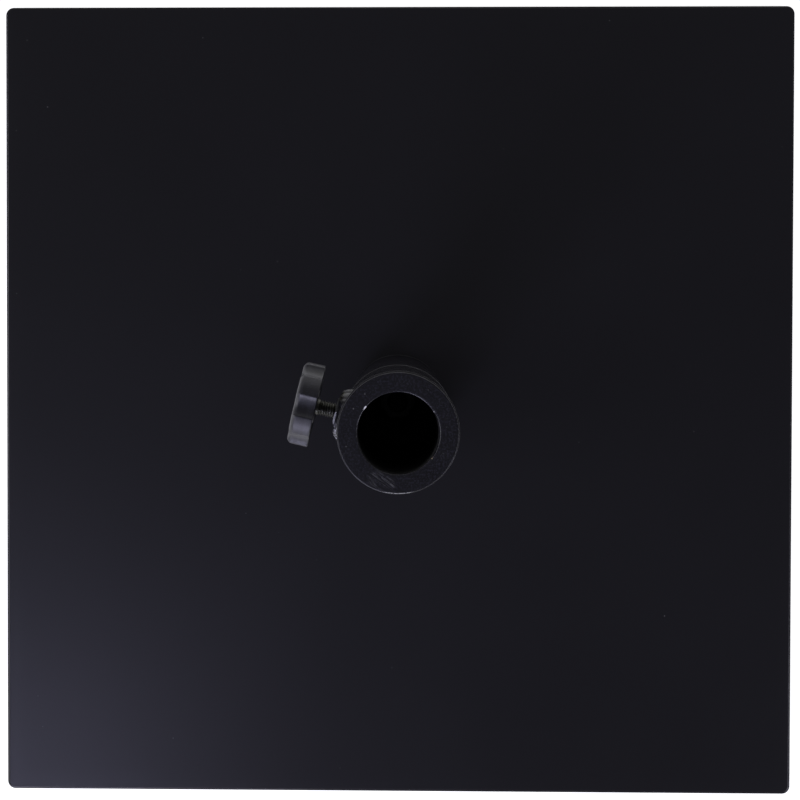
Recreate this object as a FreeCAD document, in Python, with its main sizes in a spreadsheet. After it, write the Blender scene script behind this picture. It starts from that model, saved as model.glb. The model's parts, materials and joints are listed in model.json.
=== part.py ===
import FreeCAD, Part
import Sketcher
import math
import os

# Parasol base: a square steel plate on four pads, with a two-section tube post
# bolted to its centre. A flanged sleeve in the mouth of the post takes the pole,
# and a knobbed clamp screw in the side of the post holds it.
#
# Frame: +Z up, origin on the ground under the centre of the plate, X and Y along
# the sides of the plate. The clamp screw leaves the post at screw_azimuth,
# measured from +X towards +Y.

doc = FreeCAD.newDocument("parasol_base")

# ----------------------------------------------------------------------------
# Driving dimensions, millimetres and degrees
# ----------------------------------------------------------------------------
DIMENSIONS = [
    ("plate_side", 500.0),
    ("plate_thick", 8.0),
    ("plate_corner", 5.0),
    ("plate_top_round", 1.8),
    ("plate_foot_round", 0.8),
    ("pad_dia", 38.0),
    ("pad_thick", 4.0),
    ("pad_inset", 36.0),
    ("pad_round", 1.2),
    ("post_od", 58.6),
    ("upper_od", 57.8),
    ("tube_wall", 2.0),
    ("post_rise", 332.0),
    ("seam_rise", 222.0),
    ("seam_bevel", 0.4),
    ("tube_lip", 0.3),
    ("disc_dia", 58.6),
    ("disc_thick", 5.0),
    ("disc_round", 0.5),
    ("disc_hole_dia", 13.0),
    ("foot_bead", 0.7),
    ("end_screw_dia", 12.0),
    ("end_screw_len", 23.0),
    ("end_head_dia", 24.0),
    ("end_head_depth", 6.0),
    ("end_socket_af", 8.0),
    ("end_socket_depth", 4.2),
    ("end_nut_af", 19.0),
    ("end_nut_height", 10.0),
    ("end_bead", 3.0),
    ("coupling_low", 50.0),
    ("coupling_high", 28.0),
    ("coupling_wall", 2.0),
    ("coupling_play", 0.05),
    ("bore_dia", 39.0),
    ("flange_dia", 57.5),
    ("flange_thick", 6.0),
    ("flange_round", 0.6),
    ("flange_lip", 0.65),
    ("flange_lip_height", 1.3),
    ("insert_len", 72.0),
    ("sleeve_wall", 2.4),
    ("rib_count", 8.0),
    ("rib_thick", 2.2),
    ("rib_len", 66.0),
    ("insert_play", 0.15),
    ("bore_chamfer", 0.5),
    ("screw_azimuth", 167.0),
    ("screw_drop", 63.0),
    ("screw_dia", 8.0),
    ("screw_pitch", 1.25),
    ("screw_play", 0.06),
    ("tip_face", 19.7),
    ("tip_thick", 3.0),
    ("tip_dia", 6.2),
    ("tip_gap", 0.1),
    ("stem_dia", 3.0),
    ("stem_len", 3.6),
    ("stem_play", 0.06),
    ("nut_pilot_dia", 11.0),
    ("nut_pilot_play", 0.1),
    ("nut_af", 13.0),
    ("nut_seat", 29.0),
    ("nut_face", 32.6),
    ("nut_chamfer", 0.7),
    ("bead_foot_radius", 14.2),
    ("bead_top_radius", 8.6),
    ("bead_top", 31.5),
    ("bead_shift", 0.7),
    ("insert_hole_dia", 10.0),
    ("knob_inner", 42.1),
    ("knob_thick", 10.8),
    ("knob_radius", 21.0),
    ("knob_valley", 18.4),
    ("knob_scallop_half", 15.2),
    ("knob_turn", 0.6),
    ("knob_round", 2.8),
    ("knob_corner", 0.7),
    ("head_af", 13.0),
    ("head_height", 5.3),
    ("head_seat", 45.4),
    ("thread_end", 41.2),
]

sheet = doc.addObject("Spreadsheet::Sheet", "Dimensions")
sheet.Label = "Dimensions"
for row, (name, value) in enumerate(DIMENSIONS, start=1):
    sheet.set("A%d" % row, name)
    sheet.set("B%d" % row, repr(value))
    sheet.setAlias("B%d" % row, name)
doc.recompute()


class Size:
    """A length with its value and the sheet expression that drives it."""

    def __init__(self, val, txt):
        self.val = float(val)
        self.txt = txt

    @staticmethod
    def of(other):
        if isinstance(other, Size):
            return other
        return Size(other, "(%r)" % float(other))

    def __add__(self, other):
        other = Size.of(other)
        return Size(self.val + other.val, "(%s + %s)" % (self.txt, other.txt))

    __radd__ = __add__

    def __sub__(self, other):
        other = Size.of(other)
        return Size(self.val - other.val, "(%s - %s)" % (self.txt, other.txt))

    def __rsub__(self, other):
        return Size.of(other) - self

    def __mul__(self, other):
        other = Size.of(other)
        return Size(self.val * other.val, "(%s * %s)" % (self.txt, other.txt))

    __rmul__ = __mul__

    def __truediv__(self, other):
        other = Size.of(other)
        return Size(self.val / other.val, "(%s / %s)" % (self.txt, other.txt))

    def __neg__(self):
        return Size(-self.val, "(0 - %s)" % self.txt)


def cell(name):
    return Size(getattr(sheet, name), "Dimensions.%s" % name)


def cosd(angle):
    return Size(math.cos(math.radians(angle.val)), "cos(%s * 1 deg)" % angle.txt)


def sind(angle):
    return Size(math.sin(math.radians(angle.val)), "sin(%s * 1 deg)" % angle.txt)


ZERO = Size(0.0, "0")

# ----------------------------------------------------------------------------
# Levels and radii that several pieces share
# ----------------------------------------------------------------------------
plate_low = cell("pad_thick")
plate_top = plate_low + cell("plate_thick")
post_top = plate_top + cell("post_rise")
seam_level = plate_top + cell("seam_rise")
tube_top = post_top - cell("flange_thick")
tube_foot = plate_top + cell("disc_thick")
screw_level = post_top - cell("screw_drop")
tube_r = cell("post_od") / 2
tube_in = tube_r - cell("tube_wall")
upper_r = cell("upper_od") / 2
bore_r = cell("bore_dia") / 2
screw_r = cell("screw_dia") / 2


# ----------------------------------------------------------------------------
# Helpers
# ----------------------------------------------------------------------------
def bind(obj, prop, size):
    size = Size.of(size)
    obj.setExpression(prop, size.txt)


def new_body(label):
    body = doc.addObject("PartDesign::Body", label)
    body.Label = label
    return body


def plane_of(body, role):
    for item in body.Origin.OriginFeatures:
        if item.Role == role:
            return item
    raise RuntimeError("no plane " + role)


def new_sketch(body, role, name, offset=None):
    """A sketch on one of the body's own origin planes, offset along its normal."""
    sk = body.newObject("Sketcher::SketchObject", name)
    sk.AttachmentSupport = [(plane_of(body, role), "")]
    sk.MapMode = "FlatFace"
    if offset is not None:
        bind(sk, ".AttachmentOffset.Base.z", offset)
    return sk


def pin_point(sk, geo, pos, x, y):
    """Places a sketch point at (x, y) from the sketch origin, driven by the sheet."""
    for kind, size in (("DistanceX", x), ("DistanceY", y)):
        size = Size.of(size)
        if abs(size.val) < 1e-9:
            sk.addConstraint(Sketcher.Constraint("PointOnObject", geo, pos, -2 if kind == "DistanceX" else -1))
        else:
            i = sk.addConstraint(Sketcher.Constraint(kind, -1, 1, geo, pos, size.val))
            sk.setExpression("Constraints[%d]" % i, size.txt)


def polygon(sk, points):
    """A closed outline of straight edges."""
    first = sk.GeometryCount
    n = len(points)
    vec = [FreeCAD.Vector(Size.of(x).val, Size.of(y).val, 0) for x, y in points]
    for i in range(n):
        sk.addGeometry(Part.LineSegment(vec[i], vec[(i + 1) % n]), False)
    for i in range(n):
        sk.addConstraint(Sketcher.Constraint("Coincident", first + i, 2, first + (i + 1) % n, 1))
    for i, (x, y) in enumerate(points):
        pin_point(sk, first + i, 1, x, y)


def circle(sk, x, y, radius):
    x, y, radius = Size.of(x), Size.of(y), Size.of(radius)
    g = sk.addGeometry(Part.Circle(FreeCAD.Vector(x.val, y.val, 0), FreeCAD.Vector(0, 0, 1), radius.val), False)
    pin_point(sk, g, 3, x, y)
    i = sk.addConstraint(Sketcher.Constraint("Radius", g, radius.val))
    sk.setExpression("Constraints[%d]" % i, radius.txt)


def revolve(body, sk, axis="V_Axis", cut=False):
    kind = "PartDesign::Groove" if cut else "PartDesign::Revolution"
    before = body.Shape.Volume if cut else 0.0
    feat = body.newObject(kind, sk.Name + "_turned")
    feat.Profile = sk
    feat.ReferenceAxis = (sk, [axis])
    feat.Angle = 360.0
    doc.recompute()
    if cut and not feat.Shape.Volume < before - 1e-6:
        raise RuntimeError(feat.Name + " cuts nothing")
    return feat


def pad(body, sk, length, reverse=False):
    feat = body.newObject("PartDesign::Pad", sk.Name + "_pad")
    feat.Profile = sk
    bind(feat, "Length", length)
    feat.Reversed = reverse
    doc.recompute()
    return feat


def pocket(body, sk, length, reverse):
    before = body.Shape.Volume
    feat = body.newObject("PartDesign::Pocket", sk.Name + "_pocket")
    feat.Profile = sk
    bind(feat, "Length", length)
    feat.Reversed = reverse
    doc.recompute()
    if not feat.Shape.Volume < before - 1e-6:
        raise RuntimeError(feat.Name + " cuts nothing")
    return feat


def edges_where(shape, test):
    return ["Edge%d" % (i + 1) for i, e in enumerate(shape.Edges) if test(e)]


def dress(body, kind, base, names, prop, size):
    if not names:
        raise RuntimeError("no edges to dress on " + base.Name)
    feat = body.newObject("PartDesign::" + kind, base.Name + "_" + kind.lower())
    feat.Base = (base, names)
    bind(feat, prop, size)
    doc.recompute()
    return feat


def hexagon(sk, across_flats):
    """A hexagon about the sketch origin with a flat facing the sketch's x direction."""
    corner = across_flats / Size(math.sqrt(3.0), "sqrt(3)")
    points = []
    for k in range(6):
        a = Size(30.0 + 60.0 * k, "(%r)" % (30.0 + 60.0 * k))
        points.append((corner * cosd(a), corner * sind(a)))
    polygon(sk, points)


def place_on_screw_axis(obj):
    """Local X along the clamp screw, local Z up, origin on the post's axis."""
    bind(obj, ".Placement.Base.z", screw_level)
    turn_about_post(obj)


def turn_about_post(obj):
    obj.Placement = FreeCAD.Placement(obj.Placement.Base, FreeCAD.Rotation(FreeCAD.Vector(0, 0, 1), 1.0))
    obj.setExpression(".Placement.Rotation.Angle", "Dimensions.screw_azimuth * 1 deg")


nodes = []

# ----------------------------------------------------------------------------
# base_plate: square plate, rounded corners, countersunk centre hole from below
# ----------------------------------------------------------------------------
base_plate = new_body("base_plate")
half = cell("plate_side") / 2
sk = new_sketch(base_plate, "XY_Plane", "plate_outline")
polygon(sk, [(-half, -half), (half, -half), (half, half), (-half, half)])
slab = pad(base_plate, sk, cell("plate_thick"))
slab = dress(base_plate, "Fillet", slab,
             edges_where(slab.Shape, lambda e: abs(e.tangentAt(e.FirstParameter).z) > 0.99),
             "Radius", cell("plate_corner"))
slab = dress(base_plate, "Fillet", slab,
             edges_where(slab.Shape, lambda e: e.BoundBox.ZMin > cell("plate_thick").val - 1e-6),
             "Radius", cell("plate_top_round"))
slab = dress(base_plate, "Fillet", slab,
             edges_where(slab.Shape, lambda e: e.BoundBox.ZMax < 1e-6),
             "Radius", cell("plate_foot_round"))
sk = new_sketch(base_plate, "XZ_Plane", "plate_hole")
hole_r = cell("end_screw_dia") / 2 + 0.5
head_r = cell("end_head_dia") / 2 + 0.3
polygon(sk, [(ZERO, ZERO - 1.0), (head_r, ZERO - 1.0), (head_r, ZERO + 0.3), (hole_r, head_r - hole_r + 0.3),
             (hole_r, cell("plate_thick") + 1.0), (ZERO, cell("plate_thick") + 1.0)])
revolve(base_plate, sk, cut=True)
bind(base_plate, ".Placement.Base.z", plate_low)
nodes.append(base_plate)

# ----------------------------------------------------------------------------
# four foot pads, one near each corner: round, recessed below, ground edge rounded
# ----------------------------------------------------------------------------
reach = half - cell("pad_inset")
for side_name, side_x, side_y in (("left_back", -1.0, 1.0), ("right_back", 1.0, 1.0),
                                  ("right_front", 1.0, -1.0), ("left_front", -1.0, -1.0)):
    foot_pad = new_body("foot_pad_" + side_name)
    sk = new_sketch(foot_pad, "XY_Plane", "pad_circle_" + side_name)
    circle(sk, ZERO, ZERO, cell("pad_dia") / 2)
    one_pad = pad(foot_pad, sk, cell("pad_thick"))
    one_pad = dress(foot_pad, "Fillet", one_pad,
                    edges_where(one_pad.Shape, lambda e: e.BoundBox.ZMax < 1e-6),
                    "Radius", cell("pad_round"))
    sk = new_sketch(foot_pad, "XY_Plane", "pad_recess_" + side_name)
    circle(sk, ZERO, ZERO, cell("pad_dia") / 2 - 7.0)
    pocket(foot_pad, sk, Size(1.0, "(1.0)"), True)
    bind(foot_pad, ".Placement.Base.x", reach * side_x)
    bind(foot_pad, ".Placement.Base.y", reach * side_y)
    nodes.append(foot_pad)

# ----------------------------------------------------------------------------
# post_end_disc: disc that closes the foot of the post
# ----------------------------------------------------------------------------
post_end_disc = new_body("post_end_disc")
sk = new_sketch(post_end_disc, "XZ_Plane", "disc_section")
rim = cell("disc_dia") / 2
polygon(sk, [(cell("disc_hole_dia") / 2, ZERO), (rim - 0.4, ZERO), (rim, ZERO + 0.4),
             (rim, cell("disc_thick")), (cell("disc_hole_dia") / 2, cell("disc_thick"))])
ring = revolve(post_end_disc, sk)
dress(post_end_disc, "Fillet", ring,
      edges_where(ring.Shape, lambda e: e.BoundBox.ZMin > cell("disc_thick").val - 1e-6
                  and e.BoundBox.XMax > rim.val - 0.01),
      "Radius", cell("disc_round"))
bind(post_end_disc, ".Placement.Base.z", plate_top)
nodes.append(post_end_disc)

# ----------------------------------------------------------------------------
# lower_tube and upper_tube: the two sections of the post, with one bore; the lower
# one is a little larger outside, which leaves a fine ledge at the seam
# ----------------------------------------------------------------------------
lower_tube = new_body("lower_tube")
sk = new_sketch(lower_tube, "XZ_Plane", "lower_wall")
bevel = cell("seam_bevel")
groove = cell("foot_bead")
polygon(sk, [(tube_in, tube_foot), (tube_r - groove, tube_foot), (tube_r, tube_foot + groove),
             (tube_r, seam_level - bevel), (tube_r - bevel, seam_level), (tube_in, seam_level)])
revolve(lower_tube, sk)
nodes.append(lower_tube)

upper_tube = new_body("upper_tube")
sk = new_sketch(upper_tube, "XZ_Plane", "upper_wall")
polygon(sk, [(tube_in, seam_level), (upper_r - 0.2, seam_level), (upper_r, seam_level + 0.2),
             (upper_r, tube_top), (tube_in, tube_top)])
wall = revolve(upper_tube, sk)
wall = dress(upper_tube, "Fillet", wall,
             edges_where(wall.Shape, lambda e: e.BoundBox.ZMin > tube_top.val - 1e-6
                         and e.BoundBox.XMax > upper_r.val - 0.01),
             "Radius", cell("tube_lip"))
sk = new_sketch(upper_tube, "YZ_Plane", "nut_seat_hole")
circle(sk, ZERO, screw_level, cell("nut_pilot_dia") / 2 + cell("nut_pilot_play"))
pocket(upper_tube, sk, tube_r + 5.0, True)
turn_about_post(upper_tube)
nodes.append(upper_tube)

# ----------------------------------------------------------------------------
# tube_coupling: inner sleeve across the seam of the two tube sections
# ----------------------------------------------------------------------------
tube_coupling = new_body("tube_coupling")
sk = new_sketch(tube_coupling, "XZ_Plane", "coupling_wall_section")
c_out = tube_in - cell("coupling_play")
c_in = c_out - cell("coupling_wall")
c_low = seam_level - cell("coupling_low")
c_high = seam_level + cell("coupling_high")
polygon(sk, [(c_in, c_low), (c_out - 0.8, c_low), (c_out, c_low + 0.8), (c_out, c_high - 0.8),
             (c_out - 0.8, c_high), (c_in, c_high)])
revolve(tube_coupling, sk)
nodes.append(tube_coupling)

# ----------------------------------------------------------------------------
# end_disc_weld: fine bead in the groove between the tube and the end disc
# ----------------------------------------------------------------------------
end_disc_weld = new_body("end_disc_weld")
sk = new_sketch(end_disc_weld, "XZ_Plane", "foot_bead_section")
polygon(sk, [(tube_r - groove, tube_foot), (tube_r - 0.08, tube_foot), (tube_r - 0.08, tube_foot + groove - 0.1)])
revolve(end_disc_weld, sk)
nodes.append(end_disc_weld)

# ----------------------------------------------------------------------------
# post_end_nut on the disc inside the tube, its bead, and the screw from below
# ----------------------------------------------------------------------------
post_end_nut = new_body("post_end_nut")
sk = new_sketch(post_end_nut, "XY_Plane", "end_nut_hex")
hexagon(sk, cell("end_nut_af"))
pad(post_end_nut, sk, cell("end_nut_height"))
sk = new_sketch(post_end_nut, "XZ_Plane", "end_nut_bore")
end_r = cell("end_screw_dia") / 2 + 0.05
polygon(sk, [(ZERO, ZERO - 1.0), (end_r, ZERO - 1.0), (end_r, cell("end_nut_height") - 0.6),
             (end_r + 0.9, cell("end_nut_height") + 0.3), (ZERO, cell("end_nut_height") + 0.3)])
revolve(post_end_nut, sk, cut=True)
sk = new_sketch(post_end_nut, "XZ_Plane", "end_nut_crown")
af2 = cell("end_nut_af") / 2
polygon(sk, [(af2 - 0.1, cell("end_nut_height")), (af2 + 2.5, cell("end_nut_height") - 1.5),
             (af2 + 2.5, cell("end_nut_height") + 0.5), (af2 - 0.1, cell("end_nut_height") + 0.5)])
revolve(post_end_nut, sk, cut=True)
bind(post_end_nut, ".Placement.Base.z", tube_foot)
nodes.append(post_end_nut)

bead_ring = doc.addObject("Part::Cone", "end_bead_cone")
bind(bead_ring, "Radius1", cell("end_nut_af") / 2 + cell("end_bead") + 1.2)
bind(bead_ring, "Radius2", cell("end_nut_af") / 2 + 1.2)
bind(bead_ring, "Height", cell("end_bead"))
bead_hex = doc.addObject("Part::Prism", "end_bead_hex")
bead_hex.Polygon = 6
bind(bead_hex, "Circumradius", cell("end_nut_af") / Size(math.sqrt(3.0), "sqrt(3)"))
bind(bead_hex, "Height", cell("end_nut_height"))
bead_hex.Placement = FreeCAD.Placement(FreeCAD.Vector(0, 0, 0), FreeCAD.Rotation(FreeCAD.Vector(0, 0, 1), 30.0))
end_nut_weld = doc.addObject("Part::Cut", "end_nut_weld")
end_nut_weld.Label = "end_nut_weld"
end_nut_weld.Base = bead_ring
end_nut_weld.Tool = bead_hex
bind(end_nut_weld, ".Placement.Base.z", tube_foot)
nodes.append(end_nut_weld)

post_screw = new_body("post_screw")
sk = new_sketch(post_screw, "XZ_Plane", "post_screw_section")
shank_r = cell("end_screw_dia") / 2
cone_r = cell("end_head_dia") / 2
s_len = cell("end_screw_len")
polygon(sk, [(ZERO, ZERO), (cone_r, ZERO), (cone_r, ZERO + 0.3), (shank_r, cone_r - shank_r + 0.3),
             (shank_r, s_len - 1.0), (shank_r - 1.0, s_len), (ZERO, s_len)])
revolve(post_screw, sk)
sk = new_sketch(post_screw, "XY_Plane", "post_screw_socket")
hexagon(sk, cell("end_socket_af"))
pocket(post_screw, sk, cell("end_socket_depth"), True)
bind(post_screw, ".Placement.Base.z", plate_low + 0.1)
nodes.append(post_screw)

# ----------------------------------------------------------------------------
# pole_insert: flanged sleeve with ribs, a fine lip round the foot of the flange, and a
# cross hole for the clamp screw
# ----------------------------------------------------------------------------
pole_insert = new_body("pole_insert")
flange_r = cell("flange_dia") / 2
sleeve_r = bore_r + cell("sleeve_wall")
plug_r = tube_in - cell("insert_play")
top = cell("insert_len")
low_flange = top - cell("flange_thick")
ch = cell("bore_chamfer")
sk = new_sketch(pole_insert, "XZ_Plane", "insert_section")
lip_r = flange_r + cell("flange_lip")
lip_top = low_flange + cell("flange_lip_height")
polygon(sk, [(bore_r + ch, ZERO), (sleeve_r, ZERO), (sleeve_r, low_flange), (lip_r - 0.3, low_flange),
             (lip_r, low_flange + 0.3), (lip_r, lip_top - cell("flange_lip")), (flange_r, lip_top),
             (flange_r, top), (bore_r + ch, top), (bore_r, top - ch), (bore_r, ch)])
body_of_insert = revolve(pole_insert, sk)
sk = new_sketch(pole_insert, "XY_Plane", "insert_rib", low_flange - cell("rib_len"))
rib_half = cell("rib_thick") / 2
first = Size(22.5, "(22.5)")


def at(radius, side):
    return (radius * cosd(first) - side * sind(first), radius * sind(first) + side * cosd(first))


polygon(sk, [at(sleeve_r - 0.8, -rib_half), at(plug_r, -rib_half), at(plug_r, rib_half), at(sleeve_r - 0.8, rib_half)])
rib = pad(pole_insert, sk, cell("rib_len"))
ribs = pole_insert.newObject("PartDesign::PolarPattern", "insert_ribs")
ribs.Originals = [rib]
ribs.Axis = (plane_of(pole_insert, "Z_Axis"), [""])
ribs.Angle = 360.0
bind(ribs, "Occurrences", cell("rib_count"))
pole_insert.Tip = ribs
doc.recompute()
sk = new_sketch(pole_insert, "YZ_Plane", "insert_cross_hole")
circle(sk, ZERO, top - cell("screw_drop"), cell("insert_hole_dia") / 2)
pocket(pole_insert, sk, tube_r + 5.0, True)
rounded = pole_insert.Tip
dress(pole_insert, "Fillet", rounded,
      edges_where(rounded.Shape, lambda e: e.BoundBox.ZMin > top.val - 1e-6
                  and e.BoundBox.XMax > flange_r.val - 0.01),
      "Radius", cell("flange_round"))
bind(pole_insert, ".Placement.Base.z", post_top - top)
turn_about_post(pole_insert)
nodes.append(pole_insert)

# ----------------------------------------------------------------------------
# clamp_nut: hexagon outside the wall, round pilot in the hole of the wall
# ----------------------------------------------------------------------------
clamp_nut = new_body("clamp_nut")
sk = new_sketch(clamp_nut, "YZ_Plane", "clamp_nut_hex", cell("nut_seat"))
hexagon(sk, cell("nut_af"))
pad(clamp_nut, sk, cell("nut_face") - cell("nut_seat"))
sk = new_sketch(clamp_nut, "XZ_Plane", "clamp_nut_pilot")
polygon(sk, [(tube_in + 0.1, ZERO), (cell("nut_seat") + 1.0, ZERO), (cell("nut_seat") + 1.0, cell("nut_pilot_dia") / 2),
             (tube_in + 0.1, cell("nut_pilot_dia") / 2)])
revolve(clamp_nut, sk, "H_Axis")
sk = new_sketch(clamp_nut, "XZ_Plane", "clamp_nut_bore")
nut_r = screw_r + cell("screw_play")
face = cell("nut_face")
polygon(sk, [(tube_in - 2.0, ZERO), (face + 0.3, ZERO), (face + 0.3, nut_r + 0.8), (face - 0.5, nut_r),
             (tube_in - 2.0, nut_r)])
revolve(clamp_nut, sk, "H_Axis", cut=True)
sk = new_sketch(clamp_nut, "XZ_Plane", "clamp_nut_crown")
af = cell("nut_af") / 2
polygon(sk, [(face, af - 0.1), (face + 0.5, af - 0.1), (face + 0.5, af + 1.6), (face - cell("nut_chamfer"), af + 1.6)])
revolve(clamp_nut, sk, "H_Axis", cut=True)
place_on_screw_axis(clamp_nut)
nodes.append(clamp_nut)

# ----------------------------------------------------------------------------
# clamp_nut_weld: bead round the nut, seated on the tube
# ----------------------------------------------------------------------------
bead_cone = doc.addObject("Part::Cone", "bead_cone")
bead_start = upper_r - 4.6
bind(bead_cone, "Radius1", cell("bead_foot_radius") + 1.0)
bind(bead_cone, "Radius2", cell("bead_top_radius"))
bind(bead_cone, "Height", cell("bead_top") - bead_start)
bead_cone.Placement = FreeCAD.Placement(FreeCAD.Vector(0, 0, 0), FreeCAD.Rotation(FreeCAD.Vector(0, 1, 0), 90.0))
bind(bead_cone, ".Placement.Base.x", bead_start)
bind(bead_cone, ".Placement.Base.y", cell("bead_shift"))
bead_tube = doc.addObject("Part::Cylinder", "bead_tube")
bind(bead_tube, "Radius", upper_r)
bead_tube.Height = 80.0
bead_tube.Placement.Base.z = -40.0
bead_core = doc.addObject("Part::Prism", "bead_core")
bead_core.Polygon = 6
bind(bead_core, "Circumradius", cell("nut_af") / Size(math.sqrt(3.0), "sqrt(3)"))
bind(bead_core, "Height", Size(20.0, "(20.0)"))
bead_core.Placement = FreeCAD.Placement(
    FreeCAD.Vector(20.0, 0, 0),
    FreeCAD.Rotation(FreeCAD.Vector(0, 1, 0), 90.0).multiply(FreeCAD.Rotation(FreeCAD.Vector(0, 0, 1), 0.0)))
bead_tools = doc.addObject("Part::Fuse", "bead_tools")
bead_tools.Base = bead_tube
bead_tools.Tool = bead_core
clamp_nut_weld = doc.addObject("Part::Cut", "clamp_nut_weld")
clamp_nut_weld.Label = "clamp_nut_weld"
clamp_nut_weld.Base = bead_cone
clamp_nut_weld.Tool = bead_tools
place_on_screw_axis(clamp_nut_weld)
nodes.append(clamp_nut_weld)

# ----------------------------------------------------------------------------
# tip_pad: plastic pad at the tip of the screw, its stem snapped in the screw
# ----------------------------------------------------------------------------
tip_pad = new_body("tip_pad")
tf = cell("tip_face")
tb = tf + cell("tip_thick")
tr = cell("tip_dia") / 2
sr = cell("stem_dia") / 2
sl = cell("stem_len")
sk = new_sketch(tip_pad, "XZ_Plane", "tip_section")
polygon(sk, [(tf, ZERO), (tf, tr - 0.5), (tf + 0.5, tr), (tb, tr), (tb, sr), (tb + sl - 1.4, sr),
             (tb + sl - 1.0, sr + 0.3), (tb + sl, sr - 0.3), (tb + sl, ZERO)])
revolve(tip_pad, sk, "H_Axis")
place_on_screw_axis(tip_pad)
nodes.append(tip_pad)

# ----------------------------------------------------------------------------
# clamp_screw: threaded shank, hexagon head held inside the knob
# ----------------------------------------------------------------------------
clamp_screw = new_body("clamp_screw")
tip = tb + cell("tip_gap")
ki = cell("knob_inner")
hs = cell("head_seat")
he = hs + cell("head_height")
play = cell("stem_play")
sk = new_sketch(clamp_screw, "XZ_Plane", "screw_section")
polygon(sk, [(tip, ZERO), (tip, screw_r - 0.9), (tip + 0.9, screw_r), (he, screw_r), (he, ZERO)])
revolve(clamp_screw, sk, "H_Axis")
sk = new_sketch(clamp_screw, "YZ_Plane", "screw_head", hs)
hexagon(sk, cell("head_af"))
pad(clamp_screw, sk, cell("head_height"))
sk = new_sketch(clamp_screw, "XZ_Plane", "screw_socket")
polygon(sk, [(tip - 1.0, ZERO), (tip - 1.0, sr + play), (tb + sl - 1.4 + 0.02, sr + play),
             (tb + sl - 1.0, sr + 0.3 + play), (tb + sl + 0.4, sr + 0.3 + play), (tb + sl + 0.9, ZERO)])
revolve(clamp_screw, sk, "H_Axis", cut=True)
sk = new_sketch(clamp_screw, "XZ_Plane", "thread_groove")
pitch = cell("screw_pitch")
depth = pitch * 0.6134
start = tip - pitch * 1.0
polygon(sk, [(start, screw_r + 0.25), (start + pitch * 0.94, screw_r + 0.25), (start + pitch * 0.565, screw_r - depth),
             (start + pitch * 0.375, screw_r - depth)])
before = clamp_screw.Shape.Volume
thread = clamp_screw.newObject("PartDesign::SubtractiveHelix", "thread")
thread.Profile = sk
thread.ReferenceAxis = (sk, ["H_Axis"])
thread.Mode = "pitch-height-angle"
bind(thread, "Pitch", pitch)
bind(thread, "Height", cell("thread_end") - start)
thread.Angle = 0.0
thread.LeftHanded = False
doc.recompute()
if not thread.Shape.Volume < before - 1.0:
    raise RuntimeError("the thread cuts nothing")
place_on_screw_axis(clamp_screw)
nodes.append(clamp_screw)

# ----------------------------------------------------------------------------
# knob: six lobes, outer edge rounded, the screw's head moulded in
# ----------------------------------------------------------------------------
knob_body = new_body("knob_moulding")
sk = new_sketch(knob_body, "YZ_Plane", "knob_outline", ki)
kr = cell("knob_radius")
kv = cell("knob_valley")
kh = cell("knob_scallop_half")
turn = cell("knob_turn")


def knob_point(radius, angle):
    return (radius * cosd(angle), radius * sind(angle))


chord = kr * sind(kh)
sag = kr * cosd(kh) - kv
scallop = (chord * chord + sag * sag) / (sag * 2)


def bearing(centre, point):
    return math.atan2(point.y - centre.y, point.x - centre.x)


for k in range(6):
    # a scallop whose middle is 90 degrees round from the sketch's x direction, less
    # the turn, then the lobe after it; both arcs run counter-clockwise
    mid = (90.0 + 60.0 * k) - turn
    near = knob_point(kr, mid - kh)
    far = knob_point(kr, mid + kh)
    following = knob_point(kr, mid + 60.0 - kh)
    p = [FreeCAD.Vector(x.val, y.val, 0) for x, y in (near, far, following, knob_point(kv + scallop, mid))]
    hollow = Part.Circle(p[3], FreeCAD.Vector(0, 0, 1), scallop.val)
    round_lobe = Part.Circle(FreeCAD.Vector(0, 0, 0), FreeCAD.Vector(0, 0, 1), kr.val)
    origin = FreeCAD.Vector(0, 0, 0)
    g = sk.addGeometry(Part.ArcOfCircle(hollow, bearing(p[3], p[1]), bearing(p[3], p[0])), False)
    q = sk.addGeometry(Part.ArcOfCircle(round_lobe, bearing(origin, p[1]), bearing(origin, p[2])), False)
    pin_point(sk, g, 1, far[0], far[1])
    pin_point(sk, g, 2, near[0], near[1])
    i = sk.addConstraint(Sketcher.Constraint("Radius", g, scallop.val))
    sk.setExpression("Constraints[%d]" % i, scallop.txt)
    i = sk.addConstraint(Sketcher.Constraint("Radius", q, kr.val))
    sk.setExpression("Constraints[%d]" % i, kr.txt)
    sk.addConstraint(Sketcher.Constraint("Coincident", q, 1, g, 1))
    if k:
        sk.addConstraint(Sketcher.Constraint("Coincident", q - 2, 2, g, 2))
sk.addConstraint(Sketcher.Constraint("Coincident", 11, 2, 0, 2))
puck = pad(knob_body, sk, cell("knob_thick"))
outer = (ki + cell("knob_thick")).val
corners = edges_where(puck.Shape, lambda e: abs(e.tangentAt(e.FirstParameter).x) > 0.99)
puck = dress(knob_body, "Fillet", puck, corners, "Radius", cell("knob_corner"))
puck = dress(knob_body, "Fillet", puck,
             edges_where(puck.Shape, lambda e: e.BoundBox.XMin > outer - 1e-6), "Radius", cell("knob_round"))
puck = dress(knob_body, "Fillet", puck,
             edges_where(puck.Shape, lambda e: e.BoundBox.XMax < ki.val + 1e-6), "Radius", Size(0.4, "(0.4)"))
knob_seat = doc.addObject("Part::Cylinder", "knob_seat")
bind(knob_seat, "Radius", screw_r)
bind(knob_seat, "Height", he - ki + 1.0)
knob_seat.Placement = FreeCAD.Placement(FreeCAD.Vector(0, 0, 0), FreeCAD.Rotation(FreeCAD.Vector(0, 1, 0), 90.0))
bind(knob_seat, ".Placement.Base.x", ki - 1.0)
head_space = doc.addObject("Part::Prism", "head_space")
head_space.Polygon = 6
bind(head_space, "Circumradius", cell("head_af") / Size(math.sqrt(3.0), "sqrt(3)"))
bind(head_space, "Height", cell("head_height"))
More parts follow.
